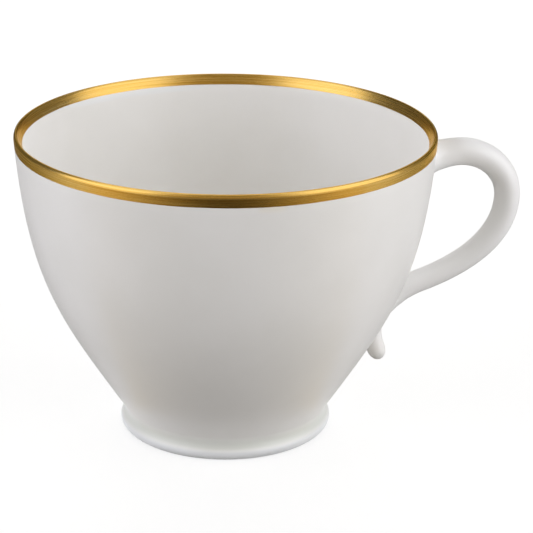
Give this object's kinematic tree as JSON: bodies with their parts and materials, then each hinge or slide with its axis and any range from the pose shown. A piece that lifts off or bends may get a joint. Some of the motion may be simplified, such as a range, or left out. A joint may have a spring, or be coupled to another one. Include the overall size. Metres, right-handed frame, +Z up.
{
  "type": "espresso cup",
  "caption": "Small porcelain coffee cup with a flaring round bowl on a low flared foot, a slim loop handle ending in a free tail, and a gilded lip; holds and pours a hot drink.",
  "frame": {"origin": "middle of the bounding box of cup and handle, on the plane that the foot stands on; the axis of the bowl stands 7.27 mm from it towards -X", "axes": "+X from the axis of the bowl out along the handle, +Z up from the foot to the rim, +Y to the left of the handle seen from the bowl"},
  "size_m": [0.0806, 0.066, 0.0492],
  "materials": {
    "porcelain": "smooth satin glaze, cool white with a warm grey cast",
    "slip": "fired slip under glaze",
    "gilding": "burnished gold with fine streaks along the rim"
  },
  "bodies": {
    "root": {"bowl": "porcelain", "foot_ring": "porcelain", "foot_slip_joint": "slip", "handle": "porcelain", "upper_slip_joint": "slip", "lower_slip_joint": "slip", "rim_gilding": "gilding"}
  },
  "joints": []
}
